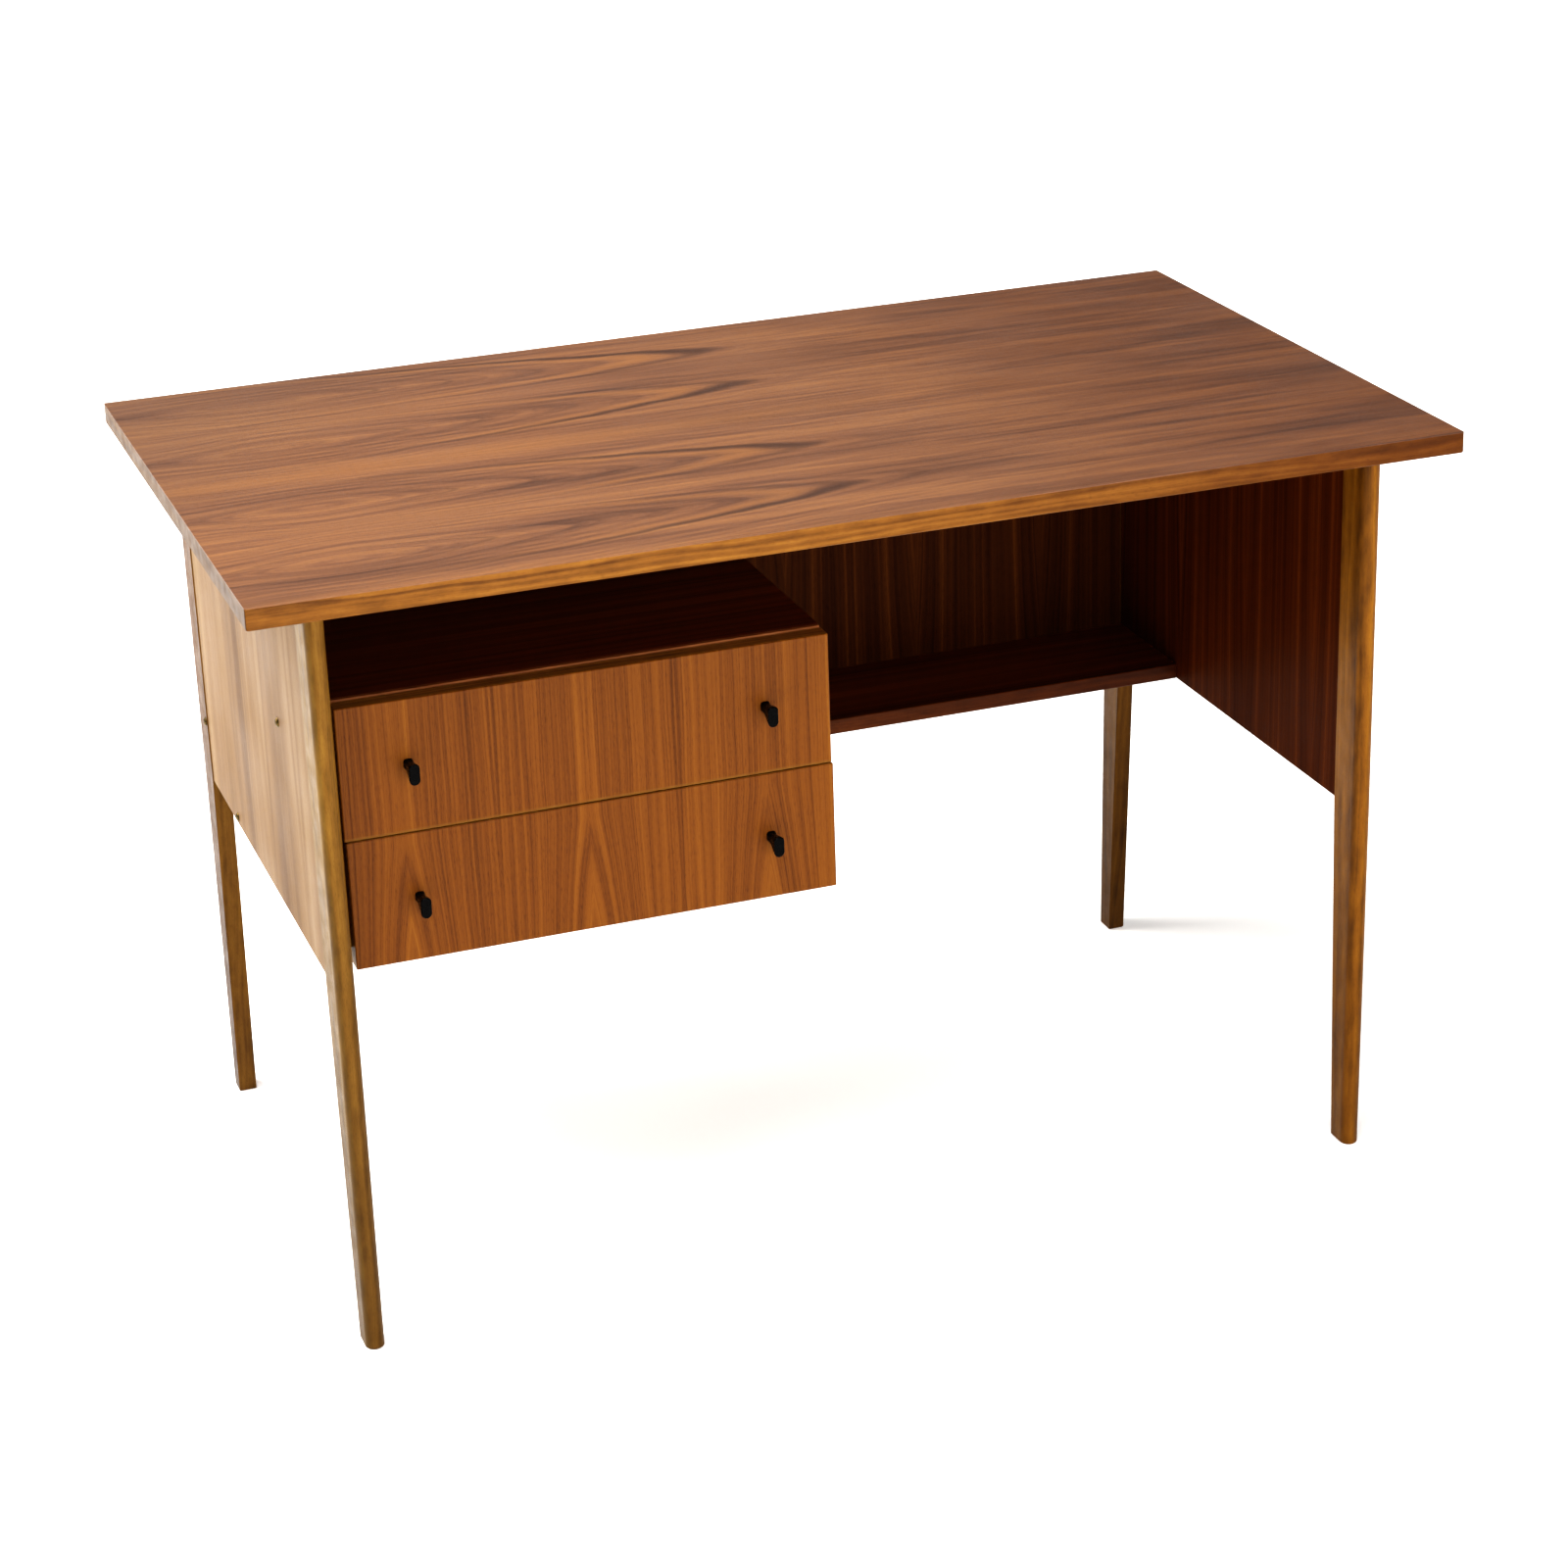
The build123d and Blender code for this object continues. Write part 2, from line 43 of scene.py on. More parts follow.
# Studio lights, as (name, place, aim, width, height, power, colour)
DESK_MIDDLE = (0.0, 0.0, 0.5)
LIGHTS = (
    ("key_light", (0.3, -3.3, 1.1), DESK_MIDDLE, 2.2, 1.2, 58.0, (1.0, 0.97, 0.92)),
    ("top_light", (-1.0, -0.5, 3.4), (-0.2, -0.2, 0.75), 3.6, 2.6, 165.0, (1.0, 0.99, 0.98)),
    ("side_light", (-1.9, 1.3, 1.5), (-0.9, 1.1, 0.0), 1.0, 1.0, 42.0, (1.0, 0.97, 0.92)),
)
# The room is bright along the horizon and dim above, as (height of a direction, brightness)
HORIZON = (0.06, 1.0)
OVERHEAD = (0.16, 0.2)

# A round floor that glows away from the desk, so that it stays pale where no light reaches
FLOOR_RADIUS = 14.0
FLOOR_SIDES = 96
GLOW_START = 0.9
GLOW_FULL = 4.0
GLOW_LEAST = 0.28
GLOW_MOST = 1.1

AXES = {"x": 0, "y": 1, "z": 2}
WOOD_IOR = 1.3
SOLID_IOR = 1.2


def srgb(red, green, blue):
    """A linear colour from the usual 0 to 255 values."""
    channels = []
    for value in (red, green, blue):
        share = value / 255
        channels.append(share / 12.92 if share <= 0.04045 else ((share + 0.055) / 1.055) ** 2.4)
    return (*channels, 1.0)


class Graph:
    """One material's node tree, built from short calls. Values are sockets or numbers."""

    def __init__(self, name):
        self.material = bpy.data.materials.new(name)
        self.material.use_nodes = True
        self.tree = self.material.node_tree
        self.tree.nodes.clear()

    def node(self, kind, values=(), **settings):
        """A node with its settings, and its inputs as (name or number, value) pairs."""
        node = self.tree.nodes.new(kind)
        for key, setting in settings.items():
            setattr(node, key, setting)
        for key, value in values:
            self.put(node.inputs[key], value)
        return node

    def put(self, socket, value):
        """Links a socket to a value, or sets it."""
        if isinstance(value, bpy.types.NodeSocket):
            self.tree.links.new(value, socket)
        else:
            socket.default_value = value

    def math(self, operation, *values):
        return self.node("ShaderNodeMath", enumerate(values), operation=operation).outputs[0]

    def add(self, *values):
        total = values[0]
        for value in values[1:]:
            total = self.math("ADD", total, value)
        return total

    def times(self, *values):
        product = values[0]
        for value in values[1:]:
            product = self.math("MULTIPLY", product, value)
        return product

    def minus(self, a, b):
        return self.math("SUBTRACT", a, b)

    def span(self, value, low, high, to_low=0.0, to_high=1.0, smooth=False):
        """Maps low..high onto to_low..to_high and stops at both ends."""
        kind = "SMOOTHSTEP" if smooth else "LINEAR"
        values = enumerate((value, low, high, to_low, to_high))
        node = self.node("ShaderNodeMapRange", values, interpolation_type=kind)
        return node.outputs[0]

    def place(self):
        """The point's x, y and z in the desk's frame, as it is with the drawers shut."""
        source = self.node("ShaderNodeTexCoord")
        split = self.node("ShaderNodeSeparateXYZ", [(0, source.outputs["Object"])])
        return split.outputs

    def facing(self):
        """The surface's own normal as x, y and z."""
        source = self.node("ShaderNodeTexCoord")
        split = self.node("ShaderNodeSeparateXYZ", [(0, source.outputs["Normal"])])
        return split.outputs

    def noise(self, point, scales, detail=2.0, roughness=0.5):
        """Noise from 0 to 1 over a point, whose scales are in features per metre."""
        scaled = [self.times(value, scale) for value, scale in zip(point, scales)]
        vector = self.node("ShaderNodeCombineXYZ", enumerate(scaled)).outputs[0]
        values = [("Vector", vector), ("Scale", 1.0), ("Detail", detail), ("Roughness", roughness)]
        return self.node("ShaderNodeTexNoise", values).outputs[0]

    def ramp(self, factor, stops):
        """A colour ramp from (place, colour) stops."""
        node = self.node("ShaderNodeValToRGB", [(0, factor)])
        elements = node.color_ramp.elements
        while len(elements) < len(stops):
            elements.new(0.5)
        for element, (place, colour) in zip(elements, stops):
            element.position = place
            element.color = colour
        return node.outputs[0]

    def mix(self, factor, first, second, blend="MIX"):
        node = self.node("ShaderNodeMix", data_type="RGBA", blend_type=blend)
        for key, value in ((0, factor), (6, first), (7, second)):
            self.put(node.inputs[key], value)
        return node.outputs[2]

    def finish(self, colour, roughness, height, depth, **shader_values):
        """Ends the tree in a shader, with a bump of the given depth in metres."""
        values = [("Strength", 1.0), ("Distance", depth), ("Height", height)]
        normal = self.node("ShaderNodeBump", values).outputs[0]
        values = [("Base Color", colour), ("Roughness", roughness), ("Normal", normal)]
        for name, value in shader_values.items():
            values.append((name.replace("_", " ").title().replace("Ior", "IOR"), value))
        shader = self.node("ShaderNodeBsdfPrincipled", values)
        self.node("ShaderNodeOutputMaterial", [(0, shader.outputs[0])])
        return self.material


# The depth of the bump from grain and pores, in metres, and the streaks' share of it
GRAIN_DEPTH = 0.00006
GRAIN_SHARE = 0.4
# A face is turned to an axis when its normal reaches this far along it
FACING = 0.6
SATIN_PATCHES = (9.0, 9.0, 9.0)
SATIN_ROUGHNESS = (0.34, 0.46)
PORE_SCALES = (150.0, 2100.0, 2100.0)
PORE_RANGE = (0.55, 0.72)


# Veneered boards. A leaf is one strip of veneer, and each is turned over beside the last,
# so the figure mirrors at every joint. In a leaf, growth rings make nested arches round a
# heart and along the grain, which fade into plain streaks beyond them.


def leaf_place(g, across, joint, width):
    """The distance into a leaf from its mirrored edge, and the leaf's number."""
    offset = g.minus(across, joint)
    inside = g.math("PINGPONG", offset, width)
    number = g.math("FLOOR", g.math("DIVIDE", offset, width))
    return inside, number


ARCH_POWER = 1.65


def arches(g, along, inside, heart, blunt, axis, lean, bend):
    """The distance out from a heart, level along nested arches that point along the grain.

    axis is the arches' middle in the leaf beside the heart, and lean is how far it moves
    for each metre along the grain.
    """
    out = g.minus(along, heart)
    middle = g.add(axis, g.times(out, lean))
    away = g.minus(inside, middle)
    reach = g.math("SQRT", g.add(g.times(out, out), blunt * blunt))
    flank = g.math("POWER", g.math("ABSOLUTE", away), ARCH_POWER)
    return g.add(reach, g.math("DIVIDE", flank, bend)), away


def bell(g, value, middle, half):
    """1 at the middle, falling to 0 at half the width on each side."""
    distance = g.math("ABSOLUTE", g.minus(value, middle))
    return g.span(distance, 0.0, half, 1.0, 0.0, smooth=True)


def centred(g, noise, strength):
    """Noise as a push up or down about zero."""
    return g.times(g.minus(noise, 0.5), strength)


def grain(g, point, layer):
    """One layer of noise, and its push up or down about zero."""
    scales, detail, roughness, strength = layer
    noise = g.noise(point, scales, detail, roughness)
    return noise, centred(g, noise, strength)


def pores(g, along, across, depth):
    """Short dark pores along the grain, from 0 to 1."""
    fine = g.noise((along, across, depth), PORE_SCALES, detail=1.0)
    return g.span(fine, *PORE_RANGE)


def satin(g, place):
    """Uneven roughness of a rubbed lacquer."""
    return g.span(g.noise(place, SATIN_PATCHES, detail=3.0), 0.3, 0.7, *SATIN_ROUGHNESS)


TOP_LEAF = 0.174
TOP_JOINT = 0.1836
TOP_ARCHES = {"heart": -0.45, "blunt": 0.03, "axis": 0.078, "lean": -0.038, "bend": 0.0282}
TOP_TONES = (
    (0.20, srgb(62, 41, 34)),
    (0.36, srgb(94, 66, 50)),
    (0.48, srgb(115, 81, 59)),
    (0.58, srgb(130, 93, 64)),
    (0.72, srgb(146, 105, 68)),
)
TOP_DARK = srgb(58, 41, 35)
TOP_PALE = srgb(150, 106, 64)
TOP_TILT = 0.04
TOP_DRIFT = 0.13
# What bends the figure, as (features per metre, detail), and by how many metres it does
TOP_WANDER = ((5.0, 14.0, 1.0), 3.0)
TOP_RIPPLE = ((13.0, 26.0, 1.0), 2.0)
WANDER_BEND = 0.016
RIPPLE_BEND = 0.008
RIPPLE_RINGS = 0.02
# The figure's layers, as (features per metre, detail, roughness, strength)
TOP_RINGS = ((22.0, 1.0, 1.0), 4.0, 0.6, 0.38)
TOP_FINE_RINGS = ((90.0, 1.0, 1.0), 2.0, 0.5, 0.2)
TOP_STREAKS = ((2.8, 185.0, 1.0), 4.0, 0.65, 0.44)
TOP_HAIRS = ((5.0, 620.0, 1.0), 2.0, 0.6, 0.2)
TOP_WAVES = ((5.5, 80.0, 2.0), 4.0, 0.6, 0.5)
TOP_BROAD = ((1.7, 17.0, 1.0), 2.0, 0.5, 0.4)
# Where the rings die out along the grain, and how much of them is left beyond
FIGURE_END = (0.0, 0.16, 1.0, 0.12)
WAVE_SHARE = 1.15
# Faint rings as (distance out, strength), then the bold arch and the pale one within it
TOP_FAINT_RINGS = ((0.06, 0.15), (0.13, 0.35), (0.205, 0.25), (0.3, 0.2), (0.36, 0.2))
FAINT_HALF = 0.009
BOLD_RING = 0.462
BOLD_HALF = 0.02
BOLD_OUTER_HALF = 0.026
BOLD_INNER_SHARE = 0.62
BOLD_STRENGTH = 0.78
BOLD_FADE = (-0.5, -0.08, 0.2, 1.0)
FLANKS = (-0.012, 0.012)
PALE_RING = 0.405
PALE_HALF = 0.045
PALE_STRENGTH = 0.42
# Sapwood beside the leaves' outer edges, a painted shade over the right end, and the shade of a
# far corner
SAPWOOD_HALF = 0.03
SAPWOOD_FADE = (-0.2, 0.35, 0.4, 0.0)
TOP_RIGHT_PAINTED_SHADE = (0.75, 0.65, 0.56, 1.0)
TOP_RIGHT = (0.0, 0.5)
TOP_CORNER_SHADE = (0.79, 0.84, 0.93, 1.0)
TOP_CORNER = (0.35, 0.85)
SHADE_WANDER = 0.1
TOP_PORES = 0.4


def top_tone(g, x, bent, ring, drift):
    """The tone: rings, strongest on the left, then streaks that run the whole way."""
    figure = g.span(x, *FIGURE_END, smooth=True)
    rings = grain(g, (ring, drift, 0.0), TOP_RINGS)[1]
    fine_rings = grain(g, (ring, drift, 5.0), TOP_FINE_RINGS)[1]
    streak_noise, streaks = grain(g, (x, bent, drift), TOP_STREAKS)
    hairs = grain(g, (x, bent, drift), TOP_HAIRS)[1]
    waves = grain(g, (x, bent, drift), TOP_WAVES)[1]
    broad = grain(g, (x, bent, drift), TOP_BROAD)[1]
    tone = g.add(
        g.times(rings, figure),
        g.times(fine_rings, figure),
        streaks,
        hairs,
        g.times(waves, g.minus(WAVE_SHARE, figure)),
        broad,
        0.5,
    )
    return tone, streak_noise


def ring_lines(g, x, ring, away, colour):
    """Faint rings, and a bold dark arch, heavier on its outer side, with a pale one within."""
    for level, much in TOP_FAINT_RINGS:
        colour = g.mix(g.times(bell(g, ring, level, FAINT_HALF), much), colour, TOP_DARK)
    outer = g.span(away, *FLANKS, smooth=True)
    fade = g.span(x, *BOLD_FADE, smooth=True)
    bold = bell(g, ring, BOLD_RING, g.add(BOLD_HALF, g.times(outer, BOLD_OUTER_HALF)))
    weight = g.add(BOLD_INNER_SHARE, g.times(outer, 1 - BOLD_INNER_SHARE))
    bold = g.times(bold, fade, weight)
    pale = g.times(bell(g, ring, PALE_RING, PALE_HALF), fade)
    colour = g.mix(g.times(pale, PALE_STRENGTH), colour, TOP_PALE)
    return g.mix(g.times(bold, BOLD_STRENGTH), colour, TOP_DARK)


def top_shades(g, x, y, inside, wander, colour):
    """Pale sapwood where leaves meet, painted shade that browns the right end, and a darker far
    left corner.
    """
    sapwood = g.times(bell(g, inside, TOP_LEAF, SAPWOOD_HALF), g.span(x, *SAPWOOD_FADE))
    colour = g.mix(sapwood, colour, TOP_PALE)
    # Painted shade: the right end is darkened as where less light falls
    right = g.span(g.add(x, centred(g, wander, SHADE_WANDER)), *TOP_RIGHT, smooth=True)
    colour = g.mix(right, colour, TOP_RIGHT_PAINTED_SHADE, "MULTIPLY")
    corner = g.span(g.minus(y, x), *TOP_CORNER, smooth=True)
    return g.mix(corner, colour, TOP_CORNER_SHADE, "MULTIPLY")


def top_veneer(name):
    """The tabletop: four leaves whose nested arches point right from hearts at the left."""
    g = Graph(name)
    place = g.place()
    x, y, z = place
    inside, number = leaf_place(g, y, TOP_JOINT, TOP_LEAF)
    drift = g.times(number, TOP_DRIFT)
    wander = g.noise((x, inside, drift), *TOP_WANDER)
    ripple = g.noise((x, inside, drift), *TOP_RIPPLE)
    bent = g.add(inside, centred(g, wander, WANDER_BEND), centred(g, ripple, RIPPLE_BEND))
    slid = g.minus(x, g.times(y, TOP_TILT))
    ring, away = arches(g, slid, bent, **TOP_ARCHES)
    ring = g.add(ring, centred(g, ripple, RIPPLE_RINGS))
    tone, streaks = top_tone(g, x, bent, ring, drift)
    colour = g.ramp(tone, TOP_TONES)
    colour = ring_lines(g, x, ring, away, colour)
    colour = top_shades(g, x, y, inside, wander, colour)
    fine = pores(g, x, y, z)
    colour = g.mix(g.times(fine, TOP_PORES), colour, TOP_DARK)
    height = g.minus(g.times(streaks, GRAIN_SHARE), fine)
    return g.finish(colour, satin(g, place), height, GRAIN_DEPTH, ior=WOOD_IOR)


FAN_POWER = 1.1
# How far each leaf's and each board face's grain is from the next one's
LEAF_DRIFT = 0.11
DEPTH_DRIFT = 3.0
VENEER_WANDER = (6.0, 22.0, 1.0)
VENEER_BEND = 0.006
# The fine, middle and broad streaks, as (features per metre, detail, roughness)
VENEER_LAYERS = (
    ((1.5, 420.0, 1.0), 3.0, 0.6),
    ((1.2, 150.0, 2.0), 2.0, 0.6),
    ((1.0, 45.0, 1.0), 1.0, 0.5),
)
# Marks in shares of the fan's spread, as (middle, half width, push on the tone)
HEART = (-0.7, 0.5, 0.13)
BOUND = (0.04, 0.16, -0.12)
BOUND_OPENS = 0.3
# A pale line beside each leaf's second edge, in metres, and the push of the pores
SEAM_LINE = (0.005, 0.0025, 0.05)
PORE_PUSH = -0.1
# Contrast and clouds of the painted sheen on the panels' outer faces
SHEEN_CONTRAST = 0.5
CLOUD_CONTRAST = 0.55
SHEEN_CLOUDS = (2.2, 13.0, 1.0)
RIM_GRAIN = (14.0, 320.0, 320.0)
RUB_PATCHES = (60.0, 200.0, 60.0)
RUB_RANGE = (0.25, 0.6, 0.35, 0.85)


def fanned(g, run, inside, drift, leaf, fan):
    """How far the fan is open, and the place across the leaf that each streak comes from."""
    start, end, spread = fan
    opened = g.times(g.math("POWER", g.span(run, start, end), FAN_POWER), spread)
    share = g.span(inside, 0.0, leaf, 1.0, 0.0)
    streak = g.minus(inside, g.times(opened, share, share))
    wander = g.noise((run, inside, drift), VENEER_WANDER, detail=2.0)
    return opened, g.add(streak, centred(g, wander, VENEER_BEND))


def fan_marks(g, streak, opened, to_seam, spread):
    """Each fan's pale heart and dark bound, and the line by a seam, as pushes on the tone."""
    middle, half, push = HEART
    heart = g.times(bell(g, streak, middle * spread, half * spread), push)
    middle, half, push = BOUND
    bound = bell(g, streak, middle * spread, half * spread)
    bound = g.times(bound, g.span(opened, 0.0, BOUND_OPENS * spread), push)
    middle, half, push = SEAM_LINE
    return heart, bound, g.times(bell(g, to_seam, middle, half), push)


def painted_sheen_colour(g, point, tone):
    """Painted sheen: the pale colour of the veneer's outer faces, in broad clouds, standing in for
    glare.
    """
    clouds = g.noise(point, SHEEN_CLOUDS, detail=2.0)
    calmed = g.times(g.minus(tone, 0.5), SHEEN_CONTRAST)
    return g.ramp(g.add(0.5, calmed, centred(g, clouds, CLOUD_CONTRAST)), SHEEN_PAINTED_TONES)


def upright_veneer(name, layout, look, outside=None, worn=None):
    """Veneer with mirrored leaves, whose streaks fan out from the leaves' first edges.

    layout is (axis along the grain, axis across it, place of a first edge, leaf width, fan),
    and fan is (start, end, spread): it opens from nothing at start to spread at end, both
    along the grain. outside is the sign of the face painted pale as a sheen of light, if there is
    one.
    worn is (middle, half width, colour) of a strip across the grain, worn to bare wood.
    """
    along, across, joint, leaf, fan = layout
    g = Graph(name)
    place = g.place()
    depth = AXES[next(axis for axis in AXES if axis not in (along, across))]
    point = (place[AXES[along]], place[AXES[across]], place[depth])
    run, side, deep = point
    facing = g.facing()[depth]
    inside, number = leaf_place(g, side, joint, leaf)
    drift = g.add(g.times(number, LEAF_DRIFT), g.times(deep, DEPTH_DRIFT))
    opened, streak = fanned(g, run, inside, drift, leaf, fan)
    streaks = [g.noise((run, streak, drift), *layer) for layer in VENEER_LAYERS]
    pushes = [centred(g, part, much) for part, much in zip(streaks, look["contrasts"])]
    marks = fan_marks(g, streak, opened, g.minus(leaf, inside), fan[-1])
    pits = pores(g, *point)
    tone = g.add(0.5, *pushes, *marks, g.times(pits, PORE_PUSH))
    colour = g.ramp(tone, look["tones"])
    if outside:
        # Painted sheen: outer faces take pale tones that stand in for glare
        outer = g.math("GREATER_THAN", g.times(facing, outside), FACING)
        colour = g.mix(outer, colour, painted_sheen_colour(g, point, tone))
    rim = g.math("LESS_THAN", g.math("ABSOLUTE", facing), FACING)
    rim_colour = g.ramp(g.noise(place, RIM_GRAIN, detail=2.0), look["rim"])
    colour = g.mix(rim, colour, rim_colour)
    if worn:
        middle, half, bare = worn
        rubbed = g.span(g.noise(place, RUB_PATCHES, detail=2.0), *RUB_RANGE)
        colour = g.mix(g.times(bell(g, run, middle, half), rubbed), colour, bare)
    height = g.minus(g.times(streaks[0], GRAIN_SHARE), pits)
    return g.finish(colour, satin(g, place), height, GRAIN_DEPTH, ior=look["ior"])


# A look has the tones from dark to light, the tones of the board's edges, the contrasts of
# the fine, middle and broad streaks, and the lacquer's index of refraction
FRONT_TONES = (
    (0.24, srgb(68, 36, 10)),
    (0.42, srgb(102, 59, 17)),
    (0.56, srgb(118, 72, 22)),
    (0.74, srgb(136, 90, 31)),
)
# Dark tones that paint the shade of the knee space into the upright panels
PANEL_SHADE_TONES = (
    (0.24, srgb(32, 12, 2)),
    (0.42, srgb(50, 23, 6)),
    (0.56, srgb(62, 31, 8)),
    (0.74, srgb(88, 50, 17)),
)
BOARD_TONES = (
    (0.24, srgb(60, 25, 9)),
    (0.42, srgb(91, 43, 15)),
    (0.56, srgb(111, 57, 20)),
    (0.74, srgb(136, 78, 30)),
)
# The right panel's dark tones, painted shade of the knee space
RIGHT_PANEL_SHADE_TONES = (
    (0.24, srgb(42, 14, 2)),
    (0.42, srgb(67, 29, 6)),
    (0.56, srgb(82, 39, 10)),
    (0.74, srgb(114, 62, 21)),
)
# Pale tones of the painted sheen on the panels' outer faces
SHEEN_PAINTED_TONES = (
    (0.28, srgb(93, 67, 43)),
    (0.5, srgb(125, 98, 67)),
    (0.7, srgb(144, 121, 91)),
)
PLY_TONES = (
    (0.24, srgb(124, 84, 48)),
    (0.5, srgb(168, 124, 78)),
    (0.76, srgb(190, 148, 98)),
)
BARE_RIM = ((0.3, srgb(122, 84, 34)), (0.7, srgb(172, 126, 60)))
DARK_RIM = ((0.3, srgb(56, 27, 8)), (0.7, srgb(92, 50, 18)))
PLY_RIM = ((0.3, srgb(120, 82, 48)), (0.7, srgb(176, 132, 84)))


def make_look(tones, rim, contrasts, ior):
    return {"tones": tones, "rim": rim, "contrasts": contrasts, "ior": ior}


FRONT_LOOK = make_look(FRONT_TONES, BARE_RIM, (0.54, 0.44, 0.3), 1.22)
PANEL_LOOK = make_look(PANEL_SHADE_TONES, DARK_RIM, (0.22, 0.5, 0.5), 1.1)
BOARD_LOOK = make_look(BOARD_TONES, DARK_RIM, (0.4, 0.5, 0.3), 1.15)
RIGHT_LOOK = make_look(RIGHT_PANEL_SHADE_TONES, DARK_RIM, (0.16, 0.36, 0.5), 1.05)
PLY_LOOK = make_look(PLY_TONES, PLY_RIM, (0.35, 0.25, 0.12), 1.3)
FRONT_LAYOUT = ("z", "x", -0.4306, 0.0852, (0.478, 0.366, 0.025))
PANEL_LAYOUT = (-0.04, 0.0735, (0.38, 0.56, 0.016))
PLY_LAYOUT = ("x", "y", 0.0, 0.3, (-1.0, 1.0, 0.02))
WORN_HALF = 0.005
WORN_COLOUR = srgb(118, 84, 32)


# Solid wood. Its growth rings are slanting layers that bend a little, on sides and ends alike

RING_SLANT = 0.6
RING_WARP = (3.0, 22.0, 22.0)
RING_BEND = 0.02
RING_CONTRAST = 0.8
RINGS_ALONG = 0.8
SMUDGES = (30.0, 110.0, 110.0)
SOLID_STOPS = (0.26, 0.5, 0.72)
SOLID_PORES = (220.0, 1700.0, 1700.0)
PORE_SHADE = 0.3
WEAR_PATCHES = (60.0, 60.0, 60.0)
WEAR_ROUGHNESS = 0.06


def solid_wood(name, along, colours, cut, fade=None, left=None):
    """A solid piece whose grain runs along one axis.

    colours are (dark, middle, light), and cut is (ring size, blotch, roughness). fade is a
    painted shade, as (place, reach, shade): the wood keeps its colour at that place along the
    grain, and takes on the shade by that far from it. left is painted light multiplied onto faces
    turned to -X.
    """
    ring_size, blotch, roughness = cut
    g = Graph(name)
    place = g.place()
    others = [axis for axis in AXES if axis != along]
    run, first, second = (place[AXES[axis]] for axis in (along, *others))
    warp = g.minus(g.noise((run, first, second), RING_WARP), 0.5)
    rings = g.add(first, g.times(second, RING_SLANT), g.times(warp, RING_BEND))
    ring_noise = g.noise((rings, run, 0.0), (1 / ring_size, RINGS_ALONG, 1.0), 3.0, 0.6)
    smudge = g.noise((run, first, second), SMUDGES, 3.0, 0.6)
    tone = g.add(centred(g, ring_noise, RING_CONTRAST), centred(g, smudge, blotch), 0.5)
    colour = g.ramp(tone, list(zip(SOLID_STOPS, colours)))
    fine = g.span(g.noise((run, first, second), SOLID_PORES, 1.0), *PORE_RANGE)
    colour = g.mix(g.times(fine, PORE_SHADE), colour, colours[0])
    # Painted shade: darker away from the place along the grain where most light falls
    if fade:
        centre, reach, shade = fade
        far = g.minus(1.0, bell(g, run, centre, reach))
        colour = g.mix(far, colour, shade, "MULTIPLY")
    # Painted light on faces turned to -X: shade where the factor is below 1, a pale sheen where it
    # is above
    if left:
        side = g.math("LESS_THAN", g.facing()[0], -FACING)
        colour = g.mix(side, colour, left, "MULTIPLY")
    wear = g.noise(place, WEAR_PATCHES, detail=3.0)
    rough = g.span(wear, 0.3, 0.7, roughness - WEAR_ROUGHNESS, roughness + WEAR_ROUGHNESS)
    height = g.minus(g.times(ring_noise, GRAIN_SHARE), fine)
    return g.finish(colour, rough, height, GRAIN_DEPTH, ior=SOLID_IOR)


# Colours of solid wood from dark to light, and cuts as (ring size, blotch, roughness)
EDGE_COLOURS = (srgb(84, 52, 20), srgb(126, 85, 34), srgb(148, 106, 46))
# Dark colours for the shelf's lipping, painted shade of the knee space
INNER_COLOURS = (srgb(70, 34, 11), srgb(114, 62, 22), srgb(140, 82, 32))
# Pale colours that paint the highlight on the unit top's lipping
UNIT_LIP_HIGHLIGHT_COLOURS = (srgb(104, 62, 34), srgb(150, 98, 58), srgb(178, 126, 82))
LEG_COLOURS = (srgb(80, 53, 20), srgb(121, 85, 33), srgb(142, 104, 44))
BEECH_COLOURS = (srgb(140, 94, 56), srgb(186, 138, 88), srgb(206, 162, 108))
EDGE_CUT = (0.004, 0.4, 0.38)
LEG_CUT = (0.006, 0.5, 0.4)
BEECH_CUT = (0.005, 0.3, 0.6)
# Lippings that differ from the rest, as (colours, shade): the left end's and the shelf's are
# darkened as painted shade, and the unit top's pale colours are a painted highlight
LIPPINGS = {
    "tabletop_left_lipping": (EDGE_COLOURS, 0.42),
    "unit_top_lipping": (UNIT_LIP_HIGHLIGHT_COLOURS, 1.0),
    "shelf_lipping": (INNER_COLOURS, 0.62),
}
# Painted shade along the grain, as where the wood is lightest, how far that reaches, and the shade
# beyond: the lippings' ends and the legs' feet and tops darker where less light falls
EDGE_PAINTED_SHADE = (-0.27, 0.95, (0.47, 0.34, 0.26, 1.0))
LEG_PAINTED_SHADE = (0.65, 0.62, (0.58, 0.55, 0.5, 1.0))
RIGHT_LEG_PAINTED_SHADE = (0.5, 0.42, (0.76, 0.73, 0.62, 1.0))
# Painted shade for each leg beside the others', darkest on the right rear leg, and painted light
# on faces turned to -X: shade on the left rear leg, a pale sheen on the left front leg
LEG_PAINTED_SHADES = {
    "left_front_leg": (0.9, 0.96, 1.0),
    "left_rear_leg": (0.98, 1.0, 1.0),
    "right_rear_leg": (0.66, 0.6, 0.4),
    "right_front_leg": (1.02, 0.88, 0.52),
}
LEFT_FACE_PAINTED_LIGHT = {
    "left_rear_leg": (0.48, 0.38, 0.3, 1.0),
    "left_front_leg": (1.0, 1.08, 1.15, 1.0),
}
# The upright panels, with the sign of each one's outer side, which is painted pale as a sheen of
# light
OUTSIDES = {"left_side_panel": -1, "right_side_panel": 1, "back_panel": 1}
PANEL_LOOKS = {"right_side_panel": RIGHT_LOOK}


